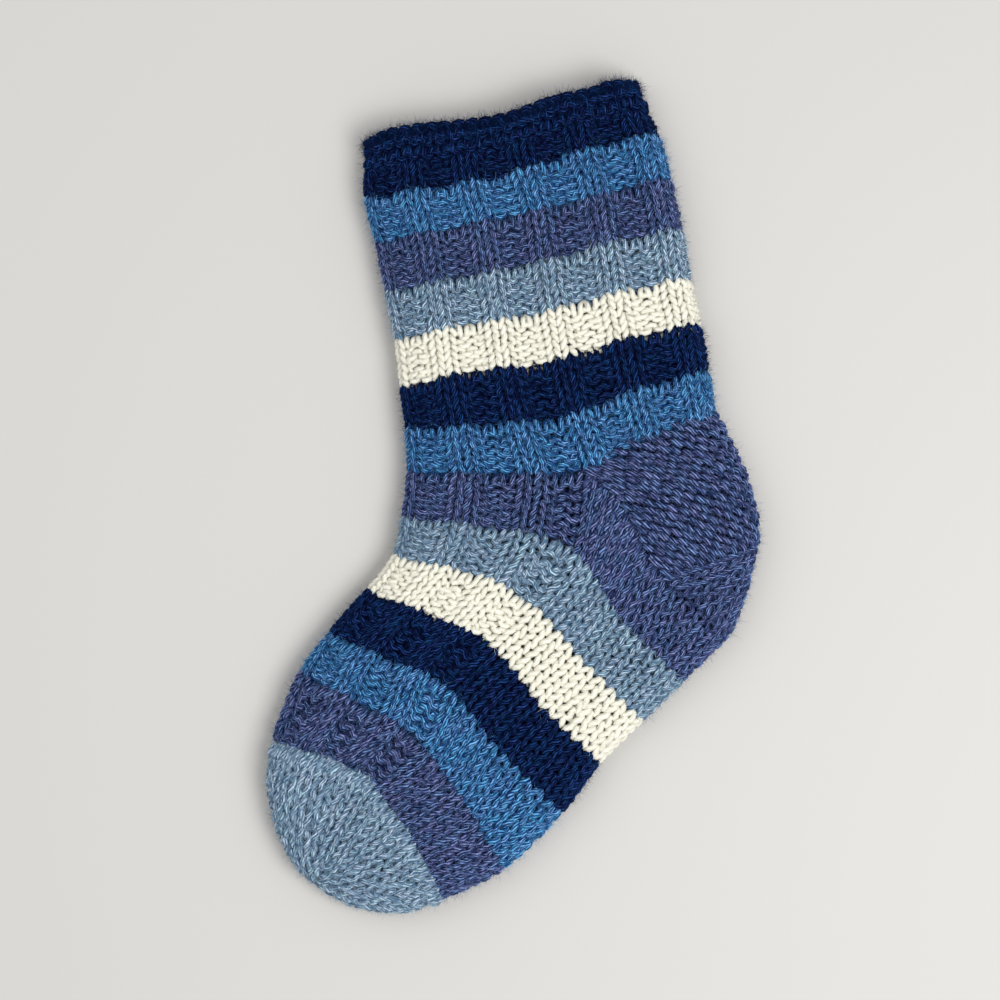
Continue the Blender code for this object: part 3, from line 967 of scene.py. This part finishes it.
def heel_fabrics(ankle_rim, pick_up_rim):
    """The heel flap's fabric and the heel turn's."""
    surface = cad_surface(*(node for node in frame["nodes"] if node != "cast_on_edge"))
    side, back, under = QUARTER_STEPS, 2 * QUARTER_STEPS, 3 * QUARTER_STEPS
    pick_up = pick_up_rim[side:back + 1]
    pick_under = pick_up_rim[back:under + 1][::-1]
    centre = 0.5 * (pick_up_rim[side] + pick_up_rim[back])
    folds = outline(surface, ankle_rim[back], pick_up_rim[back], centre)
    flap_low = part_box("heel_flap")[0].y
    turn_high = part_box("heel_turn")[1].y
    side_share = share_at_height(pick_up, flap_low)
    fold_share = share_at_height(folds, turn_high)
    flap_rings = [ankle_rim[side:under + 1]]
    for step in range(1, HEEL_RINGS + 1):
        share = step / HEEL_RINGS
        flap_rings.append(heel_row(surface, along(pick_up, share * side_share),
                                   along(folds, share * fold_share),
                                   along(pick_under, share * side_share)))
    seam = flap_rings[-1]
    heel_point = along(folds, fold_share)
    turn_rings = []
    for step in range(1, HEEL_RINGS + 1):
        share = step / HEEL_RINGS
        top = heel_point * (1 - share) + seam[0] * share
        low = heel_point * (1 - share) + seam[-1] * share
        for point, upper in ((top, True), (low, False)):
            height = face_height(surface, point[0], point[1], upper)
            if height is not None:
                point[2] = height
        fold = along(folds, fold_share + (1 - fold_share) * share)
        turn_rings.append(heel_row(surface, top, fold, low))
    flap_rows = np.linspace(0, FLAP_ROWS, HEEL_RINGS + 1)
    turn_rows = np.linspace(1, TURN_ROWS, HEEL_RINGS)
    flap = Fabric(flap_rings, list(flap_rows), first_turn=1.0, closed=False)
    turn = Fabric(turn_rings, list(turn_rows), first_turn=1.0, closed=False)
    return flap, turn


def dash_row(knit, fabric, row, count):
    """A row of the heel flap: each stitch shows as one short slanting dash, mirrored at the fold."""
    total = 2 * count
    steps, stitch, share = along_stitches(total, DASH_SEGMENTS, False)
    wander = wanderer(knit.random, total, stitch, share, False)
    uneven_down, uneven_lift, uneven_across = DASH_WANDER
    from_fold = np.abs(steps - count) - DASH_SHIFT * row
    down = row + DASH_TILT * np.sin(TAU * from_fold) + wander(uneven_down)
    lift = -DASH_DEPTH * np.cos(TAU * from_fold) + wander(uneven_lift)
    turn = 1.0 + (steps + wander(uneven_across)) / count
    line, normals = fabric.place(turn, down, lift)
    knit.yarn(line, normals, False, lift, DASH_PLUMP - DASH_SWELL * np.cos(TAU * from_fold))
    knit.stitches += total


def knit_flap(flap):
    knit = Knit(seed=30)
    for row in np.linspace(*FLAP_SPAN, FLAP_ROWS + 1):
        dash_row(knit, flap, row, FLAP_STITCHES)
    add_piece("heel_flap", knit)


def knit_turn(turn):
    """Plain rows, each from one side line round the back fold to the other."""
    knit = Knit(seed=31)
    turns = np.linspace(1, 3, 2 * QUARTER_STEPS)
    for row, _, last in rows_of(0.0, TURN_ROWS):
        line = turn.read(turn.grid, turns, np.full(len(turns), row))
        count, = counted([0.5 * step_lengths(line).sum()], SOLE_STITCH)
        plain = np.ones(2 * count)
        knit_round(knit, turn, row, (count, count), plain, plain, plain * 0.0,
                   turns=(1.0, 2.0, 3.0), closed=False, tuck=last)
    add_piece("heel_turn", knit)


def knit_heel(leg, leg_end, foot):
    """The flap and the turn, which fill the gap between the leg's last rim and the foot's first."""
    quarter_turns = np.arange(4 * QUARTER_STEPS) / QUARTER_STEPS
    ankle_rim = leg.read(leg.grid, quarter_turns, np.full(len(quarter_turns), float(leg_end)))
    pick_up_rim = foot.read(foot.grid, quarter_turns, np.zeros(len(quarter_turns)))
    flap, turn = heel_fabrics(ankle_rim, pick_up_rim)
    knit_flap(flap)
    knit_turn(turn)


# ---------------------------------------- the sock

leg, leg_rows = leg_fabric()
foot, foot_rows, toe_start = foot_fabric()
knit_leg(leg, leg_rows)
knit_foot(foot, foot_rows)
knit_toe(foot, toe_start)
knit_heel(leg, leg_rows[-1], foot)

ANKLE_PIECES = ("leg_band_navy", "ankle_band_blue", "heel_flap", "heel_turn", "gusset_band",
                "foot_band_light", "foot_band_cream")
TOE_PIECES = ("foot_band_navy", "foot_band_blue", "foot_band_denim", "toe_cap")
ANKLE_REACH = (40 * MM, -20 * MM)       # from above the ankle's hinge to below it; nothing is bent across it


def pivot(joint):
    """Where a joint's hinge stands, at the middle of the sock's height."""
    joints = frame["record"]["behaviour"]["joints"]
    return Vector(next(entry["pos_m"] for entry in joints if entry["name"] == joint))


def place_on_bodies():
    """The leg's pieces ride the leg's body; the others stay where they are, with their transforms baked
    into their meshes.
    """
    ankle, toe = pivot("ankle_flex"), pivot("toe_flex")
    low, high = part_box("toe_cap")
    forward = (low + high) / 2 - toe
    forward.z = 0.0
    forward.normalize()
    for node, piece in pieces.items():
        if node in ANKLE_PIECES:
            top, foot = (ankle + Vector((0, reach, 0)) for reach in ANKLE_REACH)
            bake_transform(piece)
            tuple(top)
            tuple(foot)
        elif node in TOE_PIECES:
            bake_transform(piece)
        else:
            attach(piece, "leg")


place_on_bodies()


# ---------------------------------------- the stage

FLOOR_HALF = 8.0                        # from its middle to each side
FLOOR_DROP = 0.2 * MM                   # the floor lies this far under the sock
FLOOR_COLOUR = (0.49, 0.475, 0.45, 1.0)
FLOOR_ROUGHNESS = 0.8
SKY_COLOUR = (0.95, 0.97, 1.0, 1.0)
SKY_STRENGTH = 0.76
# Each lamp's name, its place from the sock's middle, its width and its power in watts.
LAMPS = (("key", (0.42, -0.30, 0.85), 0.55, 8.0), ("fill", (-0.5, 0.4, 0.8), 0.8, 2.6))
VIEW_DISTANCE = 0.8                     # the camera looks straight down at a plane this far away,
VIEW_PLANE = 12 * MM                    # which lies this far under the sock's top,
VIEW_WIDTH = 0.35                       # and sees this much of it
VIEW_SHIFT = 5.3 * MM                   # how far the camera stands to the right of the sock's middle
VIEW_TURN = math.radians(-10)


def put_floor(middle, bottom):
    """A plain pale floor that reaches far past the sock on every side."""
    mesh = bpy.data.meshes.new("floor")
    bm = bmesh.new()
    bmesh.ops.create_grid(bm, x_segments=1, y_segments=1, size=FLOOR_HALF)
    bm.to_mesh(mesh)
    bm.free()
    floor = added("floor", mesh)
    floor.location = (middle.x, middle.y, bottom - FLOOR_DROP)
    material = bpy.data.materials.new("pale_floor")
    material.use_nodes = True
    shader = material.node_tree.nodes["Principled BSDF"]
    shader.inputs["Base Color"].default_value = FLOOR_COLOUR
    shader.inputs["Roughness"].default_value = FLOOR_ROUGHNESS
    mesh.materials.append(material)


def put_lights(middle):
    """An even sky and two soft lamps that face the sock."""
    world = bpy.data.worlds.new("studio")
    bpy.context.scene.world = world
    world.use_nodes = True
    sky = world.node_tree.nodes["Background"]
    sky.inputs["Color"].default_value = SKY_COLOUR
    sky.inputs["Strength"].default_value = SKY_STRENGTH
    for name, place, size, power in LAMPS:
        lamp = bpy.data.lights.new(name, "AREA")
        lamp.size = size
        lamp.energy = power
        light = added(name, lamp)
        light.location = middle + Vector(place)
        light.rotation_euler = (middle - light.location).to_track_quat("-Z", "Y").to_euler()


def put_camera(middle, top):
    """The photo's view, from straight above, with the top of the leg turned to the left."""
    camera = added("camera", bpy.data.cameras.new("camera"))
    camera.data.lens = camera.data.sensor_width * VIEW_DISTANCE / VIEW_WIDTH
    camera.location = (middle.x + VIEW_SHIFT, middle.y, top + VIEW_DISTANCE - VIEW_PLANE)
    camera.rotation_euler = (0.0, 0.0, VIEW_TURN)
    bpy.context.scene.camera = camera
    bpy.context.scene.view_settings.view_transform = "Standard"


cad_low, cad_high = cad_box
cad_middle = (cad_low + cad_high) / 2
put_floor(cad_middle, cad_low.z)
put_lights(cad_middle)
put_camera(cad_middle, cad_high.z)
